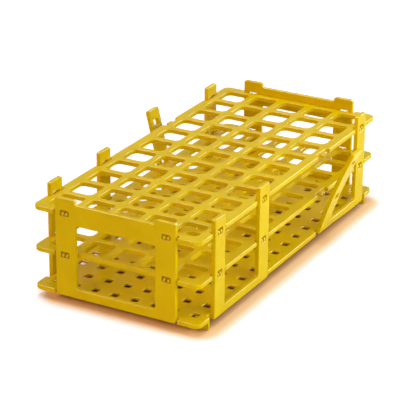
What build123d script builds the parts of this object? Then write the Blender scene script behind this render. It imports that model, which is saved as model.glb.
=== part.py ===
from build123d import *

import math
import os

os.makedirs("parts", exist_ok=True)

# A snap-together test tube rack, all of one moulded plastic. Millimetres, +Z up.
# X runs along the rack and Y across it; the floor is z = 0.
# Two pierced shelves and a drained base plate hang between two end panels and
# four U-shaped side frames. Forked tabs on the shelves clip into slots in the
# panels and frames. On the +X half of the rack the inner post of each side
# frame has come off its tabs and leans outwards, which twists the frame's rail.

# Tube places in each shelf
tube_cell_width = 23.0
tube_columns = 11
tube_rows = 5
tube_opening = 18.2
tube_opening_corner = 3.6
tube_corner_facets = 2

# Shelves and base plate
end_border = 8.4
side_border = 7.1
shelf_thickness = 3.2
shelf_corner = 5.0
base_underside = 5.8
base_to_middle_shelf = 27.7
middle_to_top_shelf = 29.3

# Drain holes in the base plate
drain_spacing_x = 16.0
drain_spacing_y = 15.0
drain_columns = 16
drain_rows = 8
drain_opening = 5.4

# Feet under the base plate
foot_thickness = 2.0
foot_length = 10.0
foot_toe_round = 1.5
foot_beyond_post = 4.8

# End panels
panel_thickness = 3.0
panel_width = 89.6
panel_inset = 0.3
panel_above_base_underside = 0.1
panel_above_top_shelf = 5.7
panel_stile_width = 15.0
panel_sill_height = 6.3
panel_head_height = 14.4
panel_ear_height = 3.3
panel_corner = 1.5
window_corner = 2.0
panel_slot_inset = 7.0

# Side frames
post_width = 13.6
outer_post_from_end = 25.85
post_centre_distance = 60.9
frame_thickness = 3.1
frame_proud = 0.75
frame_below_base_underside = 0.3
post_above_top_shelf = 8.7
rail_height = 5.4
post_corner = 1.2
rail_inner_corner = 2.0

# The two posts that are off their tabs: lean in degrees at the rail and at the
# top, and how far the post's lower end has sprung outwards and upwards
front_lean_at_rail = 17.6
front_lean_at_top = 25.9
front_spring_out = 0.65
front_spring_up = 2.4
rear_lean_at_rail = 11.5
rear_lean_at_top = 14.5
rear_spring_out = 0.0
rear_spring_up = 0.0
twist_sections = 6

# Snap tabs, their slots, and the base plate's pegs
prong_width = 1.9
prong_gap = 1.2
prong_tip_chamfer = 0.5
tab_thickness = 2.6
slot_side_clearance = 0.7
slot_sill_clearance = 0.3
side_slot_headroom = 1.6
end_slot_headroom = 1.1
peg_width = 5.0
peg_thickness = 2.0
peg_length = 1.4
pocket_clearance = 0.3

# Clearances between the plates and what clips on to them
seat_clearance = 0.3
notch_side_clearance = 1.9
panel_notch_clearance = 1.2
notch_corner = 0.8

# Sizes that follow from those above
shelf_length = (tube_columns - 1) * tube_cell_width + tube_opening + 2 * end_border
shelf_width = (tube_rows - 1) * tube_cell_width + tube_opening + 2 * side_border
middle_shelf_underside = base_underside + base_to_middle_shelf
top_shelf_underside = middle_shelf_underside + middle_to_top_shelf
top_shelf_top = top_shelf_underside + shelf_thickness
panel_bottom = base_underside + panel_above_base_underside
panel_top = top_shelf_top + panel_above_top_shelf
panel_slot_y = panel_width / 2 - panel_slot_inset
window_width = panel_width - 2 * panel_stile_width
window_bottom = panel_bottom + panel_sill_height
window_top = panel_top - panel_head_height
frame_bottom = base_underside - frame_below_base_underside
frame_top = top_shelf_top + post_above_top_shelf
outer_post_x = shelf_length / 2 - outer_post_from_end
inner_post_x = outer_post_x - post_centre_distance
panel_outer_x = shelf_length / 2 - panel_inset
panel_inner_x = panel_outer_x - panel_thickness
panel_notch_x = panel_inner_x - seat_clearance
frame_outer_y = shelf_width / 2 + frame_proud
frame_inner_y = frame_outer_y - frame_thickness
frame_notch_y = frame_inner_y - seat_clearance
tab_width = 2 * prong_width + prong_gap
slot_width = tab_width + 2 * slot_side_clearance
slot_tab_height = slot_sill_clearance + tab_thickness
pocket_depth = peg_length - seat_clearance + pocket_clearance
foot_inner_x = outer_post_x + post_width / 2 + foot_beyond_post
post_notch_width = post_width + 2 * notch_side_clearance
panel_notch_width = panel_width + 2 * panel_notch_clearance
pocket_top = base_underside + (shelf_thickness + peg_thickness) / 2 + pocket_clearance
cut_margin = 5.0


def plate_outline():
    """The outline that the shelves and the base plate share."""
    return RectangleRounded(shelf_length, shelf_width, shelf_corner)


def rounded_square(side, radius, facets):
    """A square opening whose rounded corners are cut in a few flat facets each."""
    points = []
    for corner in range(4):
        turn = math.pi / 2 * corner
        centre_x = (side / 2 - radius) * (math.cos(turn) - math.sin(turn))
        centre_y = (side / 2 - radius) * (math.sin(turn) + math.cos(turn))
        for step in range(facets + 1):
            angle = turn + math.pi / 2 * step / facets
            points.append((centre_x + radius * math.cos(angle), centre_y + radius * math.sin(angle)))
    return make_face(Polyline(*points, close=True))


def tube_openings():
    """The centred grid of openings that the tubes stand in."""
    opening = rounded_square(tube_opening, tube_opening_corner, tube_corner_facets)
    return GridLocations(tube_cell_width, tube_cell_width, tube_columns, tube_rows) * opening


def drain_openings():
    """The centred grid of small square drain holes."""
    opening = Rectangle(drain_opening, drain_opening)
    return GridLocations(drain_spacing_x, drain_spacing_y, drain_columns, drain_rows) * opening


def notch(width, depth, corner):
    """The shape of a notch of this depth in an edge that runs along X at y = 0."""
    outline = Pos(0, (cut_margin - depth) / 2) * Rectangle(width, depth + cut_margin)
    inner_corners = outline.vertices().group_by(Axis.Y)[0]
    return chamfer(inner_corners, corner)


def end_notches():
    """The notches that the two end panels stand in."""
    shape = notch(panel_notch_width, shelf_length / 2 - panel_notch_x, notch_corner)
    near = Pos(-shelf_length / 2, 0) * Rot(0, 0, 90) * shape
    far = Pos(shelf_length / 2, 0) * Rot(0, 0, -90) * shape
    return [near, far]


def side_notches(centres, width):
    """The notches along both long sides, at these X centres."""
    shape = notch(width, shelf_width / 2 - frame_notch_y, notch_corner)
    shapes = []
    for centre in centres:
        shapes.append(Pos(centre, shelf_width / 2) * shape)
        shapes.append(Pos(centre, -shelf_width / 2) * Rot(0, 0, 180) * shape)
    return shapes


def forked_tab(length):
    """Two prongs that point along +Y from y = 0, flush with the plate's underside."""
    prong = Pos(0, length / 2) * Rectangle(prong_width, length)
    tips = prong.vertices().sort_by(Axis.Y)[-2:]
    prong = chamfer(tips, prong_tip_chamfer)
    prongs = GridLocations(prong_width + prong_gap, 1, 2, 1) * prong
    return extrude(Sketch() + prongs, tab_thickness)


def base_peg():
    """A plain peg that points along +Y from y = 0, centred on the base plate's height."""
    block = Box(peg_width, peg_length, peg_thickness, align=(Align.CENTER, Align.MIN, Align.CENTER))
    return Pos(0, 0, shelf_thickness / 2) * block


def at_clip_places(side_piece, end_piece):
    """Copies of a piece at each post along the sides, and of one at each end slot."""
    pieces = []
    for across, turn in ((1, 0), (-1, 180)):
        for post_x in (-outer_post_x, -inner_post_x, inner_post_x, outer_post_x):
            pieces.append(Pos(post_x, across * frame_notch_y, 0) * Rot(0, 0, turn) * side_piece)
    for along, turn in ((1, -90), (-1, 90)):
        for slot_y in (-panel_slot_y, panel_slot_y):
            pieces.append(Pos(along * panel_notch_x, slot_y, 0) * Rot(0, 0, turn) * end_piece)
    return pieces


def tube_shelf():
    """A shelf with its grid of tube openings, notches and forked tabs."""
    posts = (-outer_post_x, -inner_post_x, inner_post_x, outer_post_x)
    notches = end_notches() + side_notches(posts, post_notch_width)
    outline = plate_outline() - tube_openings() - notches
    shelf = extrude(outline, shelf_thickness)
    side_tab = forked_tab(frame_outer_y - frame_notch_y)
    end_tab = forked_tab(panel_outer_x - panel_notch_x)
    return shelf + at_clip_places(side_tab, end_tab)


def foot():
    """A thin blade across the rack with a rounded toe, standing on the floor."""
    profile = Rectangle(foot_length, base_underside, align=(Align.MAX, Align.MIN))
    toe = profile.vertices().group_by(Axis.Y)[0].sort_by(Axis.X)[-1]
    profile = fillet(toe, foot_toe_round)
    side = Plane(origin=(foot_inner_x, shelf_width / 2, 0), x_dir=(0, 1, 0), z_dir=(1, 0, 0))
    return extrude(side * profile, foot_thickness)


def base_plate():
    """The lowest plate, with drain holes, long recesses for the rails, pegs and feet."""
    recess_start = inner_post_x - post_width / 2 - notch_side_clearance
    recess_length = foot_inner_x - recess_start
    recess_centre = (foot_inner_x + recess_start) / 2
    recesses = side_notches((-recess_centre, recess_centre), recess_length)
    outline = plate_outline() - drain_openings() - end_notches() - recesses
    plate = extrude(outline, shelf_thickness)
    plate = plate + at_clip_places(base_peg(), base_peg())
    plate = Pos(0, 0, base_underside) * plate
    corner_foot = foot()
    feet = [corner_foot, corner_foot.mirror(Plane.YZ)]
    feet += [piece.mirror(Plane.XZ) for piece in feet]
    return plate + feet


def slot_heights(bottom, slot_height):
    """Heights of the slots' centres above a piece's lowest edge, one for each shelf."""
    heights = []
    for underside in (middle_shelf_underside, top_shelf_underside):
        heights.append(underside - slot_sill_clearance + slot_height / 2 - bottom)
    return heights


def pocket_tool(bottom):
    """Cuts the pocket for a base peg in an inner face at z = 0, open at the piece's lowest edge."""
    width = peg_width + 2 * pocket_clearance
    height = pocket_top - bottom
    block = Box(width, height + cut_margin, pocket_depth, align=(Align.CENTER, Align.MAX, Align.MAX))
    return Pos(0, height, 0) * block


def end_panel():
    """The far end panel: a framed window, raised ears, slots and pockets."""
    height = panel_top - panel_bottom
    panel = Rectangle(panel_width, height, align=(Align.CENTER, Align.MIN))
    ear = Rectangle(panel_stile_width, panel_ear_height, align=(Align.MAX, Align.MIN))
    ear = Pos(panel_width / 2, height) * ear
    panel = panel + ear + ear.mirror(Plane.YZ)
    panel = fillet(panel.vertices(), panel_corner)
    window = RectangleRounded(window_width, window_top - window_bottom, window_corner)
    panel = panel - Pos(0, (window_top + window_bottom) / 2 - panel_bottom) * window
    slot_height = slot_tab_height + end_slot_headroom
    for slot_y in (-panel_slot_y, panel_slot_y):
        for slot_z in slot_heights(panel_bottom, slot_height):
            panel = panel - Pos(slot_y, slot_z) * Rectangle(slot_width, slot_height)
    inner_face = Plane(origin=(panel_inner_x, 0, panel_bottom), x_dir=(0, -1, 0), z_dir=(-1, 0, 0))
    solid = extrude(inner_face * panel, -panel_thickness)
    for slot_y in (-panel_slot_y, panel_slot_y):
        solid = solid - inner_face * Pos(slot_y, 0, 0) * pocket_tool(panel_bottom)
    return solid


def frame_plane(lean, out=0.0, up=0.0):
    """A side frame's inner face at this lean: X along the rack, Y up the post, Z inwards."""
    angle = math.radians(lean)
    inwards = (0, -math.cos(angle), math.sin(angle))
    origin = (0, frame_inner_y + out, frame_bottom + up)
    return Plane(origin=origin, x_dir=(1, 0, 0), z_dir=inwards)


def upright_post(centre_x):
    """A straight post's outline on the frame's inner face, with its two slots."""
    height = frame_top - frame_bottom
    post = Pos(centre_x, 0) * Rectangle(post_width, height, align=(Align.CENTER, Align.MIN))
    top_corners = post.vertices().group_by(Axis.Y)[-1]
    post = fillet(top_corners, post_corner)
    slot_height = slot_tab_height + side_slot_headroom
    for slot_z in slot_heights(frame_bottom, slot_height):
        post = post - Pos(centre_x, slot_z) * Rectangle(slot_width, slot_height)
    return post


def rail_outline(start_x, end_x):
    """A straight length of rail on the frame's inner face, between two places along the rack."""
    rail = Rectangle(end_x - start_x, rail_height, align=(Align.MIN, Align.MIN))
    return Pos(start_x, 0) * rail


def corner_web(post_edge, towards):
    """The rounded web in the angle of a rail and a post's edge; towards is 1 or -1 along X."""
    block = Rectangle(rail_inner_corner, rail_inner_corner, align=(Align.MIN, Align.MIN))
    web = block - Pos(rail_inner_corner, rail_inner_corner) * Circle(rail_inner_corner)
    if towards < 0:
        web = web.mirror(Plane.YZ)
    return Pos(post_edge, rail_height) * web


def pocket_at(plane, centre_x):
    """The base peg's pocket in a post whose inner face is this plane."""
    return plane * Pos(centre_x, 0, 0) * pocket_tool(frame_bottom)


def upright_frame():
    """A side frame on the +X, +Y quarter with both posts upright and clipped on."""
    inner_edge = inner_post_x + post_width / 2
    outer_edge = outer_post_x - post_width / 2
    outline = upright_post(inner_post_x) + upright_post(outer_post_x)
    outline = outline + rail_outline(inner_edge, outer_edge)
    outline = outline + corner_web(inner_edge, 1) + corner_web(outer_edge, -1)
    plane = frame_plane(0)
    solid = extrude(plane * outline, -frame_thickness)
    return solid - pocket_at(plane, inner_post_x) - pocket_at(plane, outer_post_x)


def twisted_rail(start_x, end_x, lean, out, up):
    """The rail between its posts, turned evenly from the leaning post's angle to upright."""
    sections = []
    for step in range(twist_sections):
        share = 1 - step / (twist_sections - 1)
        eased = share * share * (3 - 2 * share)
        angle = math.radians(lean * share)
        across = (0, math.cos(angle), -math.sin(angle))
        place = end_x - (end_x - start_x) * share
        origin = (place, frame_inner_y + out * eased, frame_bottom + up * eased)
        section = Rectangle(frame_thickness, rail_height, align=(Align.MIN, Align.MIN))
        sections.append(Plane(origin=origin, x_dir=across, z_dir=(1, 0, 0)) * section)
    return loft(sections)


def bent_spine(height, start_height, lean_at_rail, lean_at_top):
    """How far out and up a leaning post's inner face is at this height, and its lean there."""
    low = math.radians(lean_at_rail)
    bend = math.radians(lean_at_top - lean_at_rail) / (frame_top - frame_bottom - start_height)
    angle = low + bend * (height - start_height)
    out = start_height * math.sin(low) + (math.cos(low) - math.cos(angle)) / bend
    up = start_height * math.cos(low) + (math.sin(angle) - math.sin(low)) / bend
    return out, up, angle


def bent_post(start_height, lean_at_rail, lean_at_top):
    """The bent length of a leaning post above its straight foot, at x = y = 0."""
    full_height = frame_top - frame_bottom
    inner = []
    outer = []
    for height in (start_height, (start_height + full_height) / 2, full_height):
        out, up, angle = bent_spine(height, start_height, lean_at_rail, lean_at_top)
        inner.append((out, up))
        outer.append((out + frame_thickness * math.cos(angle), up - frame_thickness * math.sin(angle)))
    profile = ThreePointArc(*inner) + Line(inner[2], outer[2]) + ThreePointArc(*reversed(outer))
    profile = profile + Line(outer[0], inner[0])
    side = Plane(origin=(-post_width / 2, 0, 0), x_dir=(0, 1, 0), z_dir=(1, 0, 0))
    solid = extrude(side * make_face(profile), post_width)
    top_face = solid.faces().sort_by(Axis.Z)[-1]
    top_corners = top_face.edges().filter_by(Axis.X, reverse=True)
    solid = fillet(top_corners, post_corner)
    slot_height = slot_tab_height + side_slot_headroom
    for height in slot_heights(frame_bottom, slot_height):
        out, up, angle = bent_spine(height, start_height, lean_at_rail, lean_at_top)
        inwards = (0, -math.cos(angle), math.sin(angle))
        place = Plane(origin=(0, out, up), x_dir=(1, 0, 0), z_dir=inwards)
        solid = solid - place * Box(slot_width, slot_height, 2 * cut_margin)
    return solid


def leaning_frame(lean_at_rail, lean_at_top, out, up):
    """A side frame on the +X, +Y quarter whose inner post leans out over a twisted rail."""
    inner_edge = inner_post_x + post_width / 2
    outer_edge = outer_post_x - post_width / 2
    twist_start = inner_edge + rail_inner_corner
    twist_end = outer_edge - rail_inner_corner
    foot_height = rail_height + rail_inner_corner

    upright = upright_post(outer_post_x) + rail_outline(twist_end, outer_edge)
    upright = upright + corner_web(outer_edge, -1)
    plane = frame_plane(0)
    clipped = extrude(plane * upright, -frame_thickness) - pocket_at(plane, outer_post_x)

    post_foot = Rectangle(post_width, foot_height, align=(Align.CENTER, Align.MIN))
    post_foot = Pos(inner_post_x, 0) * post_foot + rail_outline(inner_edge, twist_start)
    post_foot = post_foot + corner_web(inner_edge, 1)
    plane = frame_plane(lean_at_rail, out, up)
    sprung = extrude(plane * post_foot, -frame_thickness) - pocket_at(plane, inner_post_x)

    rail = twisted_rail(twist_start, twist_end, lean_at_rail, out, up)
    post = bent_post(foot_height, lean_at_rail, lean_at_top)
    post = Pos(inner_post_x, frame_inner_y + out, frame_bottom + up) * post
    return clipped + rail + sprung + post


def rack():
    """Every piece of the rack by node name, with the rack's middle at x = y = 0."""
    shelf = tube_shelf()
    far_panel = end_panel()
    upright = upright_frame()
    front_leaning = leaning_frame(
        front_lean_at_rail, front_lean_at_top, front_spring_out, front_spring_up
    )
    rear_leaning = leaning_frame(
        rear_lean_at_rail, rear_lean_at_top, rear_spring_out, rear_spring_up
    )
    rear_near = upright.mirror(Plane.YZ)
    return {
        "top_shelf": Pos(0, 0, top_shelf_underside) * shelf,
        "middle_shelf": Pos(0, 0, middle_shelf_underside) * shelf,
        "base_plate": base_plate(),
        "near_end_panel": far_panel.mirror(Plane.YZ),
        "far_end_panel": far_panel,
        "front_near_side_frame": rear_near.mirror(Plane.XZ),
        "rear_near_side_frame": rear_near,
        "front_far_side_frame": front_leaning.mirror(Plane.XZ),
        "rear_far_side_frame": rear_leaning,
    }


# The leaning posts reach further out at the front than at the rear, so the
# whole rack is moved across to bring its overall middle to y = 0.
pieces = rack()
boxes = [piece.bounding_box() for piece in pieces.values()]
front = min(box.min.Y for box in boxes)
rear = max(box.max.Y for box in boxes)
shift = Pos(0, -(front + rear) / 2, 0)
for name, piece in pieces.items():
    export_step(shift * piece, f"parts/{name}.step")
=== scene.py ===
"""A snap-together test tube rack of yellow moulded plastic, two of its posts off their tabs."""

import logging
import math
from dataclasses import dataclass
from enum import Enum
from typing import Callable

import bmesh
import bpy
from mathutils import Matrix, Vector


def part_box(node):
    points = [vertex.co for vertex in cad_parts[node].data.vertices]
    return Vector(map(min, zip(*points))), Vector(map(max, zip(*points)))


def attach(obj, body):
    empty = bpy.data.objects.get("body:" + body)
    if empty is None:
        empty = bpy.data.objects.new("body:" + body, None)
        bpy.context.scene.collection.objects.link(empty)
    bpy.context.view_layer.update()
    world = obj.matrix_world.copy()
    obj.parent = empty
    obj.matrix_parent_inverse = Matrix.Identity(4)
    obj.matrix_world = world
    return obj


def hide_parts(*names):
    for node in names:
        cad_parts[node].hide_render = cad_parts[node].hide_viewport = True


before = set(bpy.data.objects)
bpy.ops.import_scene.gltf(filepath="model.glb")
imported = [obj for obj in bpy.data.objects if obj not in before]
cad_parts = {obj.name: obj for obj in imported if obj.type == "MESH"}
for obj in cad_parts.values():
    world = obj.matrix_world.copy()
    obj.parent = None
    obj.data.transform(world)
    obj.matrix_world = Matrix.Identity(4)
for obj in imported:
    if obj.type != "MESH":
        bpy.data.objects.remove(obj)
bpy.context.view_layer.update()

MM = 0.001
PICTURE_SIDE = 420
SENSOR_WIDTH = 36.0

logging.basicConfig(level=logging.INFO, format="%(message)s")
log = logging.getLogger("rack")


class Axis(Enum):
    """The three axes, numbered as vectors are."""

    X = 0
    Y = 1
    Z = 2


class Side(Enum):
    """The long side that a frame clips on to; the value is its direction along Y."""

    FRONT = -1
    REAR = 1


class Operation(Enum):
    """How one solid works on another; the value is Blender's name for it."""

    CUT = "DIFFERENCE"
    MELT = "UNION"


def linear(hex_colour: str) -> tuple[float, float, float, float]:
    """Turns an sRGB hex colour into a linear one.

    Args:
        hex_colour: six hex digits, such as "E2BE14".

    Returns:
        Red, green, blue and an alpha of 1.
    """
    channels = []
    for start in (0, 2, 4):
        value = int(hex_colour[start:start + 2], 16) / 255
        channels.append(value / 12.92 if value <= 0.04045 else ((value + 0.055) / 1.055) ** 2.4)
    return channels[0], channels[1], channels[2], 1.0


def add_node(tree: bpy.types.NodeTree, kind: str, settings: dict | None = None,
             inputs: dict | None = None) -> bpy.types.Node:
    """Adds a shader node with its settings, values and links.

    Args:
        tree: the material's or world's node tree.
        kind: the node's type name.
        settings: attributes of the node itself.
        inputs: socket name or number to a value, or to another node's output socket.

    Returns:
        The new node.
    """
    node = tree.nodes.new(kind)
    for name, value in (settings or {}).items():
        setattr(node, name, value)
    for name, value in (inputs or {}).items():
        if isinstance(value, bpy.types.NodeSocket):
            tree.links.new(value, node.inputs[name])
        else:
            node.inputs[name].default_value = value
    return node


class Bench:
    """Modelling steps that every moulded piece shares."""

    @staticmethod
    def pick(thing: bpy.types.Object) -> None:
        """Deselects everything, then selects one object and makes it active.

        Args:
            thing: the object to work on.
        """
        bpy.ops.object.select_all(action="DESELECT")
        thing.select_set(True)
        bpy.context.view_layer.objects.active = thing

    @staticmethod
    def block(name: str, low: tuple[float, float, float],
              high: tuple[float, float, float]) -> bpy.types.Object:
        """Adds a block between two corners.

        Args:
            name: the object's name.
            low: the lowest corner, in metres.
            high: the highest corner, in metres.

        Returns:
            The block, with its place and size in its mesh.
        """
        bpy.ops.object.select_all(action="DESELECT")
        centre = [(a + b) / 2 for a, b in zip(low, high)]
        size = [b - a for a, b in zip(low, high)]
        bpy.ops.mesh.primitive_cube_add(size=1, location=centre)
        thing = bpy.context.object
        thing.name = name
        thing.scale = size
        bpy.ops.object.transform_apply(location=True, rotation=True, scale=True)
        return thing

    @staticmethod
    def round_edges(thing: bpy.types.Object, along: Axis, radius: float, segments: int,
                    keep: Callable[[Vector], bool] = lambda middle: True) -> None:
        """Rounds the edges that run along one axis.

        Args:
            thing: the object to shape.
            along: the axis that the edges run along.
            radius: the radius of the rounding, in metres.
            segments: how many flat facets make the rounding.
            keep: says for an edge's middle whether that edge is rounded.
        """
        Bench.pick(thing)
        mesh = thing.data
        bpy.ops.object.mode_set(mode="EDIT")
        bpy.ops.mesh.select_mode(type="EDGE")
        bpy.ops.mesh.select_all(action="DESELECT")
        bpy.ops.object.mode_set(mode="OBJECT")
        for edge in mesh.edges:
            start = mesh.vertices[edge.vertices[0]].co
            end = mesh.vertices[edge.vertices[1]].co
            run = (end - start).normalized()
            if abs(run[along.value]) > 0.99 and keep((start + end) / 2):
                edge.select = True
        bpy.ops.object.mode_set(mode="EDIT")
        bpy.ops.mesh.bevel(offset=radius, segments=segments, affect="EDGES", clamp_overlap=False)
        bpy.ops.object.mode_set(mode="OBJECT")

    @staticmethod
    def repeat(thing: bpy.types.Object, counts: tuple[int, int], steps: tuple[float, float]) -> None:
        """Copies a piece over a grid along X and Y, as parts of the same mesh.

        Args:
            thing: the piece at the grid's lowest corner.
            counts: how many along X and along Y.
            steps: the spacing along X and along Y, in metres.
        """
        Bench.pick(thing)
        for axis, (count, step) in enumerate(zip(counts, steps)):
            array = thing.modifiers.new("Repeat", "ARRAY")
            array.count = count
            array.use_relative_offset = False
            array.use_constant_offset = True
            array.constant_offset_displace = [step if k == axis else 0.0 for k in range(3)]
            bpy.ops.object.modifier_apply(modifier=array.name)

    @staticmethod
    def combine(thing: bpy.types.Object, tool: bpy.types.Object, operation: Operation) -> None:
        """Cuts a tool out of a piece, or melts the two into one.

        Args:
            thing: the piece that is changed.
            tool: the other solid, which is used up.
            operation: whether to cut or to melt together.
        """
        Bench.pick(thing)
        boolean = thing.modifiers.new("Combine", "BOOLEAN")
        boolean.operation = operation.value
        boolean.solver = "EXACT"
        boolean.object = tool
        bpy.ops.object.modifier_apply(modifier=boolean.name)
        used = tool.data
        bpy.data.objects.remove(tool)
        bpy.data.meshes.remove(used)

    @staticmethod
    def joined(name: str, things: list[bpy.types.Object]) -> bpy.types.Object:
        """Joins separate objects into one mesh.

        Args:
            name: the joined object's name.
            things: the objects to join.

        Returns:
            The joined object.
        """
        bpy.ops.object.select_all(action="DESELECT")
        for thing in things:
            thing.select_set(True)
        bpy.context.view_layer.objects.active = things[0]
        bpy.ops.object.join()
        things[0].name = name
        return things[0]

    @staticmethod
    def mirrored(thing: bpy.types.Object, name: str, flips: tuple[bool, bool]) -> bpy.types.Object:
        """Copies a piece to the other side of the rack.

        Args:
            thing: the piece to copy; it stays as it is.
            name: the copy's name.
            flips: whether to mirror it along X and along Y.

        Returns:
            The copy, with its faces still pointing outwards.
        """
        copy = thing.copy()
        copy.data = thing.data.copy()
        copy.name = name
        bpy.context.scene.collection.objects.link(copy)
        Bench.pick(copy)
        copy.scale = [-1.0 if flip else 1.0 for flip in flips] + [1.0]
        bpy.ops.object.transform_apply(location=False, rotation=False, scale=True)
        bpy.ops.object.mode_set(mode="EDIT")
        bpy.ops.mesh.select_all(action="SELECT")
        bpy.ops.mesh.normals_make_consistent(inside=False)
        bpy.ops.object.mode_set(mode="OBJECT")
        return copy

    @staticmethod
    def weigh_outer_edges(mesh: bpy.types.Mesh) -> None:
        """Marks the sharp edges that stand out, as against those in a corner, for rounding.

        Args:
            mesh: the mesh to mark.
        """
        shape = bmesh.new()
        shape.from_mesh(mesh)
        weight = shape.edges.layers.float.new("bevel_weight_edge")
        for edge in shape.edges:
            sharp = edge.is_convex and edge.calc_face_angle(0.0) > math.radians(35)
            edge[weight] = 1.0 if sharp else 0.0
        shape.to_mesh(mesh)
        shape.free()

    @staticmethod
    def soften(thing: bpy.types.Object, radius: float, segments: int = 3) -> None:
        """Rounds every outer edge, as a mould does.

        Args:
            thing: the finished sharp-edged piece.
            radius: the radius of the edges, in metres.
            segments: how many facets the rounding has.
        """
        Bench.pick(thing)
        bpy.ops.object.mode_set(mode="EDIT")
        bpy.ops.mesh.select_all(action="SELECT")
        bpy.ops.mesh.remove_doubles(threshold=0.01 * MM)
        bpy.ops.mesh.dissolve_limited(angle_limit=math.radians(0.5))
        bpy.ops.object.mode_set(mode="OBJECT")
        Bench.weigh_outer_edges(thing.data)
        bevel = thing.modifiers.new("Moulded edge", "BEVEL")
        bevel.width = radius
        bevel.segments = segments
        bevel.limit_method = "WEIGHT"
        bevel.use_clamp_overlap = False
        bpy.ops.object.modifier_apply(modifier=bevel.name)

    @staticmethod
    def smooth(thing: bpy.types.Object) -> None:
        """Shades the rounded edges smooth and the broad faces flat.

        Args:
            thing: the rounded piece.
        """
        Bench.pick(thing)
        bpy.ops.object.shade_smooth_by_angle(angle=math.radians(40))
        weighted = thing.modifiers.new("Flat faces", "WEIGHTED_NORMAL")
        weighted.keep_sharp = True
        bpy.ops.object.modifier_apply(modifier=weighted.name)


@dataclass(frozen=True)
class Polypropylene:
    """Polypropylene, injection moulded in a finely spark-eroded mould.

    To the eye it is a saturated, slightly waxy yellow: light enters the thin
    walls and comes out warmer, the gloss is broad and soft, and the surface
    has a fine grain with faint cloudy flow marks.
    """

    slot: str = "yellow_polypropylene"
    clear_colour: str = "E8CA02"
    cloudy_colour: str = "E2C202"
    flow_mark_mm: float = 24.0
    # The real grain is about 0.1 mm; it is drawn coarser so that it shows.
    grain_mm: float = 0.45
    pit_mm: float = 1.6
    relief_mm: float = 0.05
    relief_strength: float = 0.12
    roughness_low: float = 0.20
    roughness_high: float = 0.26
    refraction: float = 1.49
    # Low, because the tops keep their full colour even where they are seen at a slant.
    sheen_level: float = 0.04
    scatter_share: float = 0.05
    scatter_mm: float = 2.2
    scatter_reach: tuple[float, float, float] = (1.0, 0.7, 0.12)

    def material(self) -> bpy.types.Material:
        """Builds the material.

        Returns:
            The material.
        """
        made = bpy.data.materials.new("Polypropylene, injection moulded yellow")
        made.use_nodes = True
        tree = made.node_tree
        tree.nodes.clear()
        place = add_node(tree, "ShaderNodeTexCoord").outputs["Object"]
        patterns = ((self.flow_mark_mm, 3.0, 0.55), (self.grain_mm, 2.0, 0.5),
                    (self.pit_mm, 4.0, 0.6))
        flow, grain, pits = (add_node(tree, "ShaderNodeTexNoise", {}, {
            "Vector": place, "Scale": 1 / (size * MM), "Detail": detail, "Roughness": fineness,
        }).outputs["Fac"] for size, detail, fineness in patterns)
        cloud = add_node(tree, "ShaderNodeMapRange", {}, {
            "Value": flow, "From Min": 0.35, "From Max": 0.65,
        }).outputs["Result"]
        # A mix node's colours are its inputs 6 and 7.
        colour = add_node(tree, "ShaderNodeMix", {"data_type": "RGBA"}, {
            0: cloud, 6: linear(self.clear_colour), 7: linear(self.cloudy_colour),
        }).outputs[2]
        gloss = add_node(tree, "ShaderNodeMapRange", {}, {
            "Value": pits, "From Min": 0.3, "From Max": 0.7,
            "To Min": self.roughness_low, "To Max": self.roughness_high,
        }).outputs["Result"]
        relief = add_node(tree, "ShaderNodeMath", {"operation": "ADD"}, {0: grain, 1: pits}).outputs[0]
        bump = add_node(tree, "ShaderNodeBump", {}, {
            "Height": relief, "Strength": self.relief_strength, "Distance": self.relief_mm * MM,
        }).outputs["Normal"]
        shader = add_node(tree, "ShaderNodeBsdfPrincipled", {}, {
            "Base Color": colour, "Roughness": gloss, "Normal": bump,
            "IOR": self.refraction, "Specular IOR Level": self.sheen_level,
            "Subsurface Weight": self.scatter_share, "Subsurface Scale": self.scatter_mm * MM,
            "Subsurface Radius": self.scatter_reach,
        })
        add_node(tree, "ShaderNodeOutputMaterial", {}, {"Surface": shader.outputs[0]})
        return made


@dataclass
class RackPiece:
    """One moulded piece of the rack, dressed and put in place of its solid."""

    finish: bpy.types.Material
    centre_y: float

    def hand_over(self, thing: bpy.types.Object, node: str) -> None:
        """Moves a finished piece to its place, dresses it and lets it stand for its solid.

        Args:
            thing: the piece, modelled with the rack's middle at y = 0.
            node: the solid that it replaces.
        """
        Bench.smooth(thing)
        thing.data.transform(Matrix.Translation((0, self.centre_y, 0)))
        thing.data.materials.clear()
        thing.data.materials.append(self.finish)
        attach(thing, "root")
        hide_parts(node)
        faces = sum(len(face.vertices) - 2 for face in thing.data.polygons)
        log.info("%s: %d triangles", thing.name, faces)


@dataclass
class ClipPlaces:
    """Where posts and panels clip on, shared by the plates, panels and frames."""

    outer_post_x: float = 106.65 * MM
    inner_post_x: float = 45.75 * MM
    post_width: float = 13.6 * MM
    panel_slot_y: float = 37.8 * MM
    panel_inner_x: float = 129.2 * MM
    panel_outer_x: float = 132.2 * MM
    frame_inner_y: float = 59.85 * MM
    frame_outer_y: float = 62.95 * MM
    seat_clearance: float = 0.3 * MM

    def posts(self) -> tuple[float, float, float, float]:
        """The four post centres along one side."""
        return (-self.outer_post_x, -self.inner_post_x, self.inner_post_x, self.outer_post_x)


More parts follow.
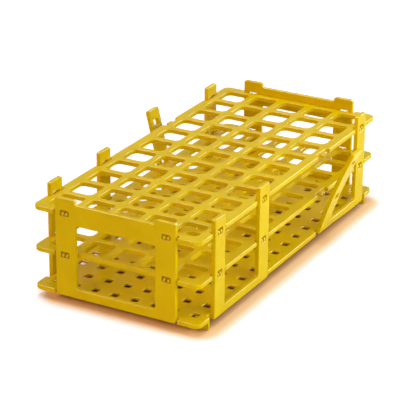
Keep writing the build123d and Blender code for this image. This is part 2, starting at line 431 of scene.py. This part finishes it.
@dataclass
class Plate(RackPiece):
    """What the two shelves and the base plate share: outline, thickness and notches."""

    places: ClipPlaces
    half_length: float = 132.5 * MM
    half_width: float = 62.2 * MM
    thickness: float = 3.2 * MM
    corner: float = 5.0 * MM
    edge_round: float = 0.5 * MM
    panel_notch_half: float = 46.0 * MM
    notch_corner: float = 1.0 * MM

    def blank(self, name: str, underside: float) -> bpy.types.Object:
        """The bare plate with rounded corners.

        Args:
            name: the plate's name.
            underside: the height of the plate's underside, in metres.

        Returns:
            The plate.
        """
        low = (-self.half_length, -self.half_width, underside)
        high = (self.half_length, self.half_width, underside + self.thickness)
        plate = Bench.block(name, low, high)
        Bench.round_edges(plate, Axis.Z, self.corner, 8)
        return plate

    def notch_tool(self, low: tuple[float, float], high: tuple[float, float],
                   underside: float) -> bpy.types.Object:
        """A cutter between two corners in plan, with its corners inside the plate rounded.

        Args:
            low: its lowest X and Y, in metres.
            high: its highest X and Y, in metres.
            underside: the height of the plate's underside, in metres.

        Returns:
            The cutter.
        """
        over = 1.0 * MM
        tool = Bench.block("notch tool", (low[0], low[1], underside - over),
                           (high[0], high[1], underside + self.thickness + over))
        limit_x, limit_y = self.half_length, self.half_width
        Bench.round_edges(tool, Axis.Z, self.notch_corner, 4,
                          lambda middle: abs(middle.x) < limit_x and abs(middle.y) < limit_y)
        return tool

    def end_notches(self, underside: float) -> list[bpy.types.Object]:
        """Cutters for the notches that the end panels stand in.

        Args:
            underside: the height of the plate's underside, in metres.

        Returns:
            The two cutters.
        """
        bottom = self.places.panel_inner_x - self.places.seat_clearance
        beyond = self.half_length + 4 * MM
        half = self.panel_notch_half
        near = self.notch_tool((-beyond, -half), (-bottom, half), underside)
        far = self.notch_tool((bottom, -half), (beyond, half), underside)
        return [near, far]

    def side_notches(self, spans: list[tuple[float, float]],
                     underside: float) -> list[bpy.types.Object]:
        """Cutters for notches along both long sides, between these X places.

        Args:
            spans: where each notch starts and ends along X, in metres.
            underside: the height of the plate's underside, in metres.

        Returns:
            The cutters, one to a notch.
        """
        bottom = self.places.frame_inner_y - self.places.seat_clearance
        beyond = self.half_width + 4 * MM
        tools = []
        for start, end in spans:
            tools.append(self.notch_tool((start, bottom), (end, beyond), underside))
            tools.append(self.notch_tool((start, -beyond), (end, -bottom), underside))
        return tools


@dataclass
class TubeShelf(Plate):
    """A shelf pierced by square tube places, with forked tabs along its rim."""

    columns: int = 11
    rows: int = 5
    pitch: float = 23.0 * MM
    opening: float = 18.2 * MM
    opening_corner: float = 3.6 * MM
    notch_half: float = 8.7 * MM
    prong: float = 1.9 * MM
    prong_gap: float = 1.2 * MM
    tab_thickness: float = 2.6 * MM
    prong_lead_in: float = 1.3 * MM

    def tube_places(self, underside: float) -> bpy.types.Object:
        """One cutter for the whole grid of openings.

        Args:
            underside: the height of the plate's underside, in metres.

        Returns:
            The cutter.
        """
        over = 1.0 * MM
        half = self.opening / 2
        first_x = -(self.columns - 1) / 2 * self.pitch
        first_y = -(self.rows - 1) / 2 * self.pitch
        tool = Bench.block("tube place tool", (first_x - half, first_y - half, underside - over),
                           (first_x + half, first_y + half, underside + self.thickness + over))
        Bench.round_edges(tool, Axis.Z, self.opening_corner, 6)
        Bench.repeat(tool, (self.columns, self.rows), (self.pitch, self.pitch))
        return tool

    def prong_block(self, low: tuple[float, float, float], high: tuple[float, float, float],
                    across: Axis) -> bpy.types.Object:
        """One prong, with the upper edge of its tip rounded as a lead-in.

        Args:
            low: its lowest corner, in metres.
            high: its highest corner, in metres.
            across: the axis along which the tip's edges run.

        Returns:
            The prong.
        """
        prong = Bench.block("prong", low, high)
        reach = Axis.Y if across is Axis.X else Axis.X
        tip = max(abs(low[reach.value]), abs(high[reach.value]))
        near = 0.1 * MM
        Bench.round_edges(prong, across, self.prong_lead_in, 4, lambda middle: (
            abs(middle.z - high[2]) < near and abs(abs(middle[reach.value]) - tip) < near))
        return prong

    def prongs(self, underside: float) -> list[bpy.types.Object]:
        """The two prongs of every tab, each reaching a little into the plate.

        Args:
            underside: the height of the plate's underside, in metres.

        Returns:
            The prongs.
        """
        sink = 1.0 * MM
        top = underside + self.tab_thickness
        side_start = self.places.frame_inner_y - self.places.seat_clearance - sink
        end_start = self.places.panel_inner_x - self.places.seat_clearance - sink
        offset = (self.prong + self.prong_gap) / 2
        made = []
        for fork in (-offset, offset):
            low, high = fork - self.prong / 2, fork + self.prong / 2
            for sign in (-1, 1):
                for post_x in self.places.posts():
                    ys = sorted((sign * side_start, sign * self.places.frame_outer_y))
                    made.append(self.prong_block((post_x + low, ys[0], underside),
                                                 (post_x + high, ys[1], top), Axis.X))
                for slot_y in (-self.places.panel_slot_y, self.places.panel_slot_y):
                    xs = sorted((sign * end_start, sign * self.places.panel_outer_x))
                    made.append(self.prong_block((xs[0], slot_y + low, underside),
                                                 (xs[1], slot_y + high, top), Axis.Y))
        return made

    def build(self, node: str) -> None:
        """Models the shelf in place of its solid.

        Args:
            node: the solid that it replaces.
        """
        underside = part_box(node)[0].z
        shelf = self.blank(f"moulded_{node}", underside)
        spans = [(x - self.notch_half, x + self.notch_half) for x in self.places.posts()]
        cutters = self.end_notches(underside) + self.side_notches(spans, underside)
        cutters.append(self.tube_places(underside))
        Bench.combine(shelf, Bench.joined("shelf cutters", cutters), Operation.CUT)
        Bench.combine(shelf, Bench.joined("tabs", self.prongs(underside)), Operation.MELT)
        Bench.soften(shelf, self.edge_round)
        self.hand_over(shelf, node)


@dataclass
class BasePlate(Plate):
    """The lowest plate: a web with drain holes in a deeper rim, pegs and four blade feet."""

    drain_columns: int = 16
    drain_rows: int = 8
    drain_pitch_x: float = 16.0 * MM
    drain_pitch_y: float = 15.0 * MM
    drain_opening: float = 5.4 * MM
    drain_corner: float = 0.8 * MM
    web_thickness: float = 1.7 * MM
    web_half_length: float = 124.5 * MM
    web_half_width: float = 56.2 * MM
    web_corner: float = 3.0 * MM
    recess_start: float = 37.05 * MM
    foot_inner_x: float = 118.25 * MM
    foot_thickness: float = 2.0 * MM
    foot_length: float = 10.0 * MM
    foot_toe_round: float = 1.5 * MM
    peg_width: float = 5.0 * MM
    peg_thickness: float = 2.0 * MM
    peg_length: float = 1.4 * MM

    def drains(self, underside: float) -> bpy.types.Object:
        """One cutter for the whole grid of drain holes.

        Args:
            underside: the height of the plate's underside, in metres.

        Returns:
            The cutter.
        """
        over = 1.0 * MM
        half = self.drain_opening / 2
        first_x = -(self.drain_columns - 1) / 2 * self.drain_pitch_x
        first_y = -(self.drain_rows - 1) / 2 * self.drain_pitch_y
        tool = Bench.block("drain tool", (first_x - half, first_y - half, underside - over),
                           (first_x + half, first_y + half, underside + self.thickness + over))
        Bench.round_edges(tool, Axis.Z, self.drain_corner, 4)
        Bench.repeat(tool, (self.drain_columns, self.drain_rows),
                     (self.drain_pitch_x, self.drain_pitch_y))
        return tool

    def hollow(self, underside: float) -> bpy.types.Object:
        """The cutter that thins the plate from below, inside its rim.

        Args:
            underside: the height of the plate's underside, in metres.

        Returns:
            The cutter.
        """
        tool = Bench.block("hollow tool", (-self.web_half_length, -self.web_half_width, 0.0),
                           (self.web_half_length, self.web_half_width,
                            underside + self.thickness - self.web_thickness))
        Bench.round_edges(tool, Axis.Z, self.web_corner, 6)
        return tool

    def feet(self, underside: float) -> list[bpy.types.Object]:
        """The four blades that stand on the floor, each let into the plate's web.

        Args:
            underside: the height of the plate's underside, in metres.

        Returns:
            The feet.
        """
        sink = self.thickness - self.web_thickness / 2
        made = []
        for sign_x in (-1, 1):
            for sign_y in (-1, 1):
                xs = sorted((sign_x * self.foot_inner_x,
                             sign_x * (self.foot_inner_x + self.foot_thickness)))
                ys = sorted((sign_y * (self.half_width - self.foot_length),
                             sign_y * self.half_width))
                foot = Bench.block("foot", (xs[0], ys[0], 0.0), (xs[1], ys[1], underside + sink))
                Bench.round_edges(foot, Axis.X, self.foot_toe_round, 5, lambda middle, s=sign_y: (
                    middle.z < sink and middle.y * s > self.half_width - sink))
                made.append(foot)
        return made

    def pegs(self, underside: float) -> list[bpy.types.Object]:
        """The pegs that carry the frames and panels.

        Args:
            underside: the height of the plate's underside, in metres.

        Returns:
            The pegs.
        """
        sink = 1.0 * MM
        middle = underside + self.thickness / 2
        low_z, high_z = middle - self.peg_thickness / 2, middle + self.peg_thickness / 2
        half = self.peg_width / 2
        side_start = self.places.frame_inner_y - self.places.seat_clearance
        end_start = self.places.panel_inner_x - self.places.seat_clearance
        made = []
        for sign in (-1, 1):
            for post_x in self.places.posts():
                ys = sorted((sign * (side_start - sink), sign * (side_start + self.peg_length)))
                made.append(Bench.block("peg", (post_x - half, ys[0], low_z),
                                        (post_x + half, ys[1], high_z)))
            for slot_y in (-self.places.panel_slot_y, self.places.panel_slot_y):
                xs = sorted((sign * (end_start - sink), sign * (end_start + self.peg_length)))
                made.append(Bench.block("peg", (xs[0], slot_y - half, low_z),
                                        (xs[1], slot_y + half, high_z)))
        return made

    def build(self, node: str) -> None:
        """Models the base plate in place of its solid.

        Args:
            node: the solid that it replaces.
        """
        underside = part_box(node)[1].z - self.thickness
        plate = self.blank(f"moulded_{node}", underside)
        spans = [(self.recess_start, self.foot_inner_x), (-self.foot_inner_x, -self.recess_start)]
        cutters = self.end_notches(underside) + self.side_notches(spans, underside)
        cutters.append(self.drains(underside))
        Bench.combine(plate, Bench.joined("base cutters", cutters), Operation.CUT)
        Bench.combine(plate, self.hollow(underside), Operation.CUT)
        added = self.pegs(underside) + self.feet(underside)
        Bench.combine(plate, Bench.joined("pegs and feet", added), Operation.MELT)
        Bench.soften(plate, self.edge_round)
        self.hand_over(plate, node)


@dataclass
class SlottedWall(RackPiece):
    """What panels and side frames share: slots for the shelves' tabs and pockets for pegs."""

    places: ClipPlaces
    slot_half: float = 3.2 * MM
    slot_corner: float = 0.4 * MM
    sill_clearance: float = 0.3 * MM
    tab_thickness: float = 2.6 * MM
    pocket_half: float = 2.8 * MM
    pocket_depth: float = 1.4 * MM
    pocket_top: float = 8.7 * MM
    edge_round: float = 0.45 * MM

    def slot_spans(self, headroom: float) -> list[tuple[float, float]]:
        """The lowest and highest edge of the slots for each shelf.

        Args:
            headroom: the gap over the tab, in metres.

        Returns:
            The two heights of each slot, the lower shelf first.
        """
        spans = []
        for shelf in ("middle_shelf", "top_shelf"):
            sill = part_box(shelf)[0].z - self.sill_clearance
            spans.append((sill, sill + self.sill_clearance + self.tab_thickness + headroom))
        return spans


@dataclass
class EndPanel(SlottedWall):
    """An end panel: a wide window, two ears, four slots and two pockets."""

    half_width: float = 44.8 * MM
    stile: float = 15.0 * MM
    bottom: float = 5.9 * MM
    bar_top: float = 71.7 * MM
    ear_top: float = 75.0 * MM
    corner: float = 1.5 * MM
    window_bottom: float = 12.2 * MM
    window_top: float = 57.3 * MM
    window_corner: float = 2.0 * MM
    slot_headroom: float = 1.1 * MM

    def far_panel(self) -> bpy.types.Object:
        """The panel at the +X end, with its sharp edges rounded.

        Returns:
            The panel.
        """
        over = 2.0 * MM
        inner, outer = self.places.panel_inner_x, self.places.panel_outer_x
        half = self.half_width
        panel = Bench.block("far panel", (inner, -half, self.bottom), (outer, half, self.ear_top))
        gap_half = half - self.stile
        gap = Bench.block("ear gap", (inner - over, -gap_half, self.bar_top),
                          (outer + over, gap_half, self.ear_top + over))
        Bench.round_edges(gap, Axis.X, self.corner, 5, lambda middle: middle.z < self.ear_top)
        window = Bench.block("window", (inner - over, -gap_half, self.window_bottom),
                             (outer + over, gap_half, self.window_top))
        Bench.round_edges(window, Axis.X, self.window_corner, 6)
        cutters = [gap, window]
        for slot_y in (-self.places.panel_slot_y, self.places.panel_slot_y):
            for low, high in self.slot_spans(self.slot_headroom):
                cutters.append(Bench.block("slot", (inner - over, slot_y - self.slot_half, low),
                                           (outer + over, slot_y + self.slot_half, high)))
            cutters.append(Bench.block("pocket", (inner - over, slot_y - self.pocket_half, 0.0),
                                       (inner + self.pocket_depth, slot_y + self.pocket_half,
                                        self.pocket_top)))
        Bench.combine(panel, Bench.joined("panel cutters", cutters), Operation.CUT)
        Bench.round_edges(panel, Axis.X, self.corner, 5, self.is_outer_corner)
        Bench.soften(panel, self.edge_round)
        return panel

    def is_outer_corner(self, middle: Vector) -> bool:
        """Says whether an edge across the panel is one of its outside corners.

        Args:
            middle: the edge's middle.

        Returns:
            True where the corner is rounded.
        """
        edge = 0.1 * MM
        at_side = abs(abs(middle.y) - self.half_width) < edge
        at_end = abs(middle.z - self.bottom) < edge or abs(middle.z - self.ear_top) < edge
        at_ear = (abs(abs(middle.y) - (self.half_width - self.stile)) < edge
                  and abs(middle.z - self.ear_top) < edge)
        return (at_side and at_end) or at_ear

    def build(self) -> None:
        """Models both end panels in place of their solids."""
        far = self.far_panel()
        near = Bench.mirrored(far, "moulded_near_end_panel", (True, False))
        far.name = "moulded_far_end_panel"
        self.hand_over(near, "near_end_panel")
        self.hand_over(far, "far_end_panel")


@dataclass(frozen=True)
class Flex:
    """How a side frame is bent where its inner post is off its tabs."""

    lean_at_rail: float
    lean_at_top: float
    spring_out: float
    spring_up: float


@dataclass
class SideFrame(SlottedWall):
    """A U-shaped side frame: two slotted posts on a rail, one of them perhaps flexed."""

    bottom: float = 5.5 * MM
    top: float = 74.7 * MM
    rail_height: float = 5.4 * MM
    post_corner: float = 1.2 * MM
    rail_corner: float = 2.0 * MM
    slot_headroom: float = 1.6 * MM
    rail_steps: int = 24
    post_steps: int = 24

    def straight_frame(self) -> bpy.types.Object:
        """The frame at the far end of the rear side, with both posts upright.

        Returns:
            The frame.
        """
        over = 2.0 * MM
        inner, outer = self.places.frame_inner_y, self.places.frame_outer_y
        half = self.places.post_width / 2
        low_x = self.places.inner_post_x - half
        high_x = self.places.outer_post_x + half
        wall = Bench.block("rear far frame", (low_x, inner, self.bottom), (high_x, outer, self.top))
        Bench.round_edges(wall, Axis.Y, self.post_corner, 5, lambda middle: (
            middle.z > self.top - over))
        gap = Bench.block("gap", (low_x + 2 * half, inner - over, self.bottom + self.rail_height),
                          (high_x - 2 * half, outer + over, self.top + over))
        Bench.round_edges(gap, Axis.Y, self.rail_corner, 6, lambda middle: middle.z < self.top)
        cutters = [gap]
        for post_x in (self.places.inner_post_x, self.places.outer_post_x):
            for low, high in self.slot_spans(self.slot_headroom):
                cutters.append(Bench.block("slot", (post_x - self.slot_half, inner - over, low),
                                           (post_x + self.slot_half, outer + over, high)))
            cutters.append(Bench.block("pocket", (post_x - self.pocket_half, inner - over, 0.0),
                                       (post_x + self.pocket_half, inner + self.pocket_depth,
                                        self.pocket_top)))
        Bench.combine(wall, Bench.joined("frame cutters", cutters), Operation.CUT)
        Bench.round_edges(wall, Axis.Y, self.post_corner, 5, lambda middle: (
            middle.z > self.top - over and low_x + half < middle.x < high_x - half))
        Bench.soften(wall, self.edge_round)
        return wall

    def sliced(self, thing: bpy.types.Object) -> None:
        """Cuts the frame across its rail and posts so that it can bend smoothly.

        Args:
            thing: the straight frame.
        """
        half = self.places.post_width / 2
        start, end = self.places.inner_post_x + half, self.places.outer_post_x - half
        Bench.pick(thing)
        bpy.ops.object.mode_set(mode="EDIT")
        for step in range(1, self.rail_steps):
            bpy.ops.mesh.select_all(action="SELECT")
            at = start + (end - start) * step / self.rail_steps
            bpy.ops.mesh.bisect(plane_co=(at, 0, 0), plane_no=(1, 0, 0))
        for step in range(1, self.post_steps):
            bpy.ops.mesh.select_all(action="SELECT")
            at = self.bottom + (self.top - self.bottom) * step / self.post_steps
            bpy.ops.mesh.bisect(plane_co=(0, 0, at), plane_no=(0, 0, 1))
        bpy.ops.object.mode_set(mode="OBJECT")

    def flexed(self, thing: bpy.types.Object, flex: Flex) -> None:
        """Twists the rail and bends the inner post outwards.

        Args:
            thing: the sliced frame at the far end of the rear side.
            flex: how far it is bent.
        """
        half = self.places.post_width / 2
        twist_start = self.places.inner_post_x + half + self.rail_corner
        twist_end = self.places.outer_post_x - half - self.rail_corner
        foot = self.rail_height + self.rail_corner
        lean = math.radians(flex.lean_at_rail)
        bend = (math.radians(flex.lean_at_top) - lean) / (self.top - self.bottom - foot)
        for vertex in thing.data.vertices:
            share = (twist_end - vertex.co.x) / (twist_end - twist_start)
            share = min(1.0, max(0.0, share))
            eased = share * share * (3 - 2 * share)
            height = vertex.co.z - self.bottom
            proud = vertex.co.y - self.places.frame_inner_y
            angle = lean * share
            straight = min(height, foot)
            out = straight * math.sin(angle)
            up = straight * math.cos(angle)
            if height > foot:
                turned = angle + bend * share * (height - foot)
                if share > 0:
                    out += (math.cos(angle) - math.cos(turned)) / (bend * share)
                    up += (math.sin(turned) - math.sin(angle)) / (bend * share)
                else:
                    up += height - foot
                angle = turned
            vertex.co.y = (self.places.frame_inner_y + flex.spring_out * eased
                           + out + proud * math.cos(angle))
            vertex.co.z = self.bottom + flex.spring_up * eased + up - proud * math.sin(angle)

    def build(self, leaning: dict[Side, Flex]) -> None:
        """Models the four side frames in place of their solids.

        Args:
            leaning: how the frame at the far end of each side is flexed.
        """
        straight = self.straight_frame()
        for side in Side:
            flips = (False, side is Side.FRONT)
            bent = Bench.mirrored(straight, "bent frame", (False, False))
            self.sliced(bent)
            self.flexed(bent, leaning[side])
            name = f"{side.name.lower()}_far_side_frame"
            placed = Bench.mirrored(bent, f"moulded_{name}", flips)
            bpy.data.objects.remove(bent)
            self.hand_over(placed, name)
            name = f"{side.name.lower()}_near_side_frame"
            placed = Bench.mirrored(straight, f"moulded_{name}", (True, side is Side.FRONT))
            self.hand_over(placed, name)
        bpy.data.objects.remove(straight)


@dataclass(frozen=True)
class Lamp:
    """A broad distant lamp: its direction from the rack, and how wide it looks in degrees."""

    name: str
    direction: tuple[float, float, float]
    strength: float
    spread: float
    colour: tuple[float, float, float] = (1.0, 1.0, 1.0)
    shine_only: bool = False


@dataclass
class Studio:
    """A pale floor, soft studio light and the photograph's viewpoint."""

    centre_y: float
    lamps: tuple[Lamp, ...] = (
        Lamp("Overhead softbox", (0.0, 0.1, 1.0), 1.45, 50),
        Lamp("Warm fill", (-0.8, 0.5, 0.35), 0.7, 35, (1.0, 0.40, 0.16)),
        Lamp("Highlight 1", (-0.1, 0.44, 0.85), 26.0, 30, shine_only=True),
        Lamp("Highlight 2", (0.81, -0.45, 0.4), 14.0, 30, shine_only=True),
    )
    surround_strength: float = 0.22
    backdrop_strength: float = 1.0
    azimuth: float = -61.5
    elevation: float = 23.2
    roll: float = 0.65
    focal_pixels: float = 1904.9
    camera_place: tuple[float, float, float] = (-1.0758, -0.5813, 0.5503)
    floor_half: float = 6.0
    # Inside these half-extents the card has its darkest painted shadow and no lift.
    painted_shadow_extent: tuple[float, float, float] = (0.120, 0.050, 0.0)
    # Painted shadow in the card's own colour: dark warm brown under the rack, paler and warmer at its
    # edges, near-white further out.
    painted_shadow_card_colours: tuple[str, str, str] = ("B58E58", "F2DCB0", "F6F5F2")
    # Emission for camera, glossy and transmission rays, by distance from the rack: none under it as
    # painted shadow, a warm painted glow just beside it, then an even lift that makes the far card
    # white.
    painted_glow_and_white_lifts: tuple[tuple[float, float, tuple[float, float, float, float]], ...] = (
        (0.000, 0.009, (0.22, 0.08, 0.03, 1.0)),
        (0.011, 0.022, (0.38, 0.42, 0.50, 1.0)),
    )

    @staticmethod
    def seen(tree: bpy.types.NodeTree) -> bpy.types.NodeSocket:
        """Tells what is seen, directly or in a reflection, from what lights the rack.

        Args:
            tree: the material's or world's node tree.

        Returns:
            A socket that is 1 for camera, glossy and transmission rays, and otherwise 0.
        """
        path = add_node(tree, "ShaderNodeLightPath")
        found = path.outputs["Is Camera Ray"]
        for kind in ("Is Glossy Ray", "Is Transmission Ray"):
            found = add_node(tree, "ShaderNodeMath", {"operation": "MAXIMUM"}, {
                0: found, 1: path.outputs[kind],
            }).outputs[0]
        return found

    def floor(self) -> None:
        """A wide pale card at the feet's level, with painted shadow round the rack: its own colour is
        darker and warmer under and near the rack, it has a warm painted glow just beside it, and
        further out it has an even lift to white for what is seen.
        """
        bpy.ops.object.select_all(action="DESELECT")
        bpy.ops.mesh.primitive_plane_add(size=2 * self.floor_half, location=(0, 0, 0))
        ground = bpy.context.object
        ground.name = "studio_floor"
        paper = bpy.data.materials.new("Card, white with painted shadow and glow")
        paper.use_nodes = True
        tree = paper.node_tree
        tree.nodes.clear()
        place = add_node(tree, "ShaderNodeTexCoord").outputs["Object"]
        apart = add_node(tree, "ShaderNodeVectorMath", {"operation": "ABSOLUTE"}, {0: place})
        apart = add_node(tree, "ShaderNodeVectorMath", {"operation": "SUBTRACT"}, {
            0: apart.outputs[0], 1: self.painted_shadow_extent,
        })
        apart = add_node(tree, "ShaderNodeVectorMath", {"operation": "MAXIMUM"}, {
            0: apart.outputs[0], 1: (0.0, 0.0, 0.0),
        })
        distance = add_node(tree, "ShaderNodeVectorMath", {"operation": "LENGTH"}, {
            0: apart.outputs[0],
        })
        # Painted shadow by distance from the rack: the colour goes from dark warm brown to near-white
        # card, and the emission goes from none to a warm painted glow, then to the even lift.
        painted_glow_tint, colour = (0.0, 0.0, 0.0, 1.0), linear(self.painted_shadow_card_colours[0])
        for (start, end, lift), hue in zip(self.painted_glow_and_white_lifts, self.painted_shadow_card_colours[1:]):
            rise = add_node(tree, "ShaderNodeMapRange", {"interpolation_type": "SMOOTHSTEP"}, {
                "Value": distance.outputs["Value"], "From Min": start, "From Max": end,
            }).outputs["Result"]
            painted_glow_tint = add_node(tree, "ShaderNodeMix", {"data_type": "RGBA"}, {
                0: rise, 6: painted_glow_tint, 7: lift,
            }).outputs[2]
            colour = add_node(tree, "ShaderNodeMix", {"data_type": "RGBA"}, {
                0: rise, 6: colour, 7: linear(hue),
            }).outputs[2]
        matt = add_node(tree, "ShaderNodeBsdfDiffuse", {}, {"Color": colour})
        seen = self.seen(tree)
        # Painted glow and painted shadow near the rack; an even white lift further out.
        glow = add_node(tree, "ShaderNodeEmission", {}, {"Color": painted_glow_tint, "Strength": seen})
        both = add_node(tree, "ShaderNodeAddShader", {}, {0: matt.outputs[0], 1: glow.outputs[0]})
        add_node(tree, "ShaderNodeOutputMaterial", {}, {"Surface": both.outputs[0]})
        ground.data.materials.append(paper)

    def world(self) -> None:
        """Soft light from all round, with a white background."""
        sky = bpy.data.worlds.new("Studio surround")
        bpy.context.scene.world = sky
        sky.use_nodes = True
        tree = sky.node_tree
        tree.nodes.clear()
        seen = self.seen(tree)
        pale = linear("FFFFFF")
        soft = add_node(tree, "ShaderNodeBackground", {}, {
            "Color": pale, "Strength": self.surround_strength,
        })
        white = add_node(tree, "ShaderNodeBackground", {}, {
            "Color": pale, "Strength": self.backdrop_strength,
        })
        mixed = add_node(tree, "ShaderNodeMixShader", {}, {
            0: seen, 1: soft.outputs[0], 2: white.outputs[0],
        })
        add_node(tree, "ShaderNodeOutputWorld", {}, {"Surface": mixed.outputs[0]})

    @staticmethod
    def distant_lamp(kind: Lamp) -> None:
        """Adds a broad distant lamp.

        Args:
            kind: its direction, strength, spread and colour.
        """
        bpy.ops.object.light_add(type="SUN", location=kind.direction)
        lamp = bpy.context.object
        lamp.name = kind.name
        lamp.data.energy = kind.strength
        lamp.data.angle = math.radians(kind.spread)
        lamp.data.color = kind.colour
        lamp.rotation_euler = Vector(kind.direction).to_track_quat("Z", "Y").to_euler()
        lamp.visible_diffuse = not kind.shine_only

    @staticmethod
    def near_lamp(name: str, place: tuple[float, float, float],
                  size: tuple[float, float], power: float) -> None:
        """Adds a softbox close to the rack, facing its middle.

        Args:
            name: the lamp's name.
            place: the softbox's centre, in metres.
            size: its length and height, in metres.
            power: its power, in watts.
        """
        bpy.ops.object.light_add(type="AREA", location=place)
        lamp = bpy.context.object
        lamp.name = name
        lamp.data.shape = "RECTANGLE"
        lamp.data.size, lamp.data.size_y = size
        lamp.data.energy = power
        lamp.rotation_euler = Vector(place).to_track_quat("Z", "Y").to_euler()
        lamp.visible_camera = False

    def camera(self) -> None:
        """The camera at the photograph's place and angle."""
        around, down, roll = (math.radians(angle) for angle in
                              (self.azimuth, self.elevation, self.roll))
        forward = Vector((-math.sin(around) * math.cos(down),
                          math.cos(around) * math.cos(down), -math.sin(down)))
        right = Vector((math.cos(around), math.sin(around), 0))
        up = right.cross(forward)
        turned_right = math.cos(roll) * right + math.sin(roll) * up
        turned_up = -math.sin(roll) * right + math.cos(roll) * up
        axes = Matrix((turned_right, turned_up, -forward)).transposed().to_4x4()
        place = Vector(self.camera_place) + Vector((0, self.centre_y, 0))
        lens = bpy.data.cameras.new("Photograph view")
        lens.sensor_width = SENSOR_WIDTH
        lens.lens = SENSOR_WIDTH * self.focal_pixels / PICTURE_SIDE
        lens.clip_end = 100.0
        eye = bpy.data.objects.new("Photograph view", lens)
        bpy.context.scene.collection.objects.link(eye)
        eye.matrix_world = Matrix.Translation(place) @ axes
        bpy.context.scene.camera = eye

    def build(self) -> None:
        """Sets up everything around the rack."""
        self.floor()
        self.world()
        for kind in self.lamps:
            self.distant_lamp(kind)
        self.near_lamp("Front reflector", (0.05, -0.55, 0.22), (0.8, 0.25), 2.15)
        self.camera()
        bpy.context.scene.view_settings.view_transform = "Standard"


def main() -> None:
    """Builds the rack piece by piece, then the studio."""
    low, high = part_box("top_shelf")
    centre_y = (low.y + high.y) / 2
    plastic = Polypropylene().material()
    places = ClipPlaces()
    shelf = TubeShelf(plastic, centre_y, places)
    shelf.build("top_shelf")
    shelf.build("middle_shelf")
    BasePlate(plastic, centre_y, places).build("base_plate")
    EndPanel(plastic, centre_y, places).build()
    SideFrame(plastic, centre_y, places).build({
        Side.FRONT: Flex(lean_at_rail=17.6, lean_at_top=25.9, spring_out=0.65 * MM,
                         spring_up=2.4 * MM),
        Side.REAR: Flex(lean_at_rail=11.5, lean_at_top=14.5, spring_out=0.0, spring_up=0.0),
    })
    Studio(centre_y).build()


if __name__ == "__main__":
    main()
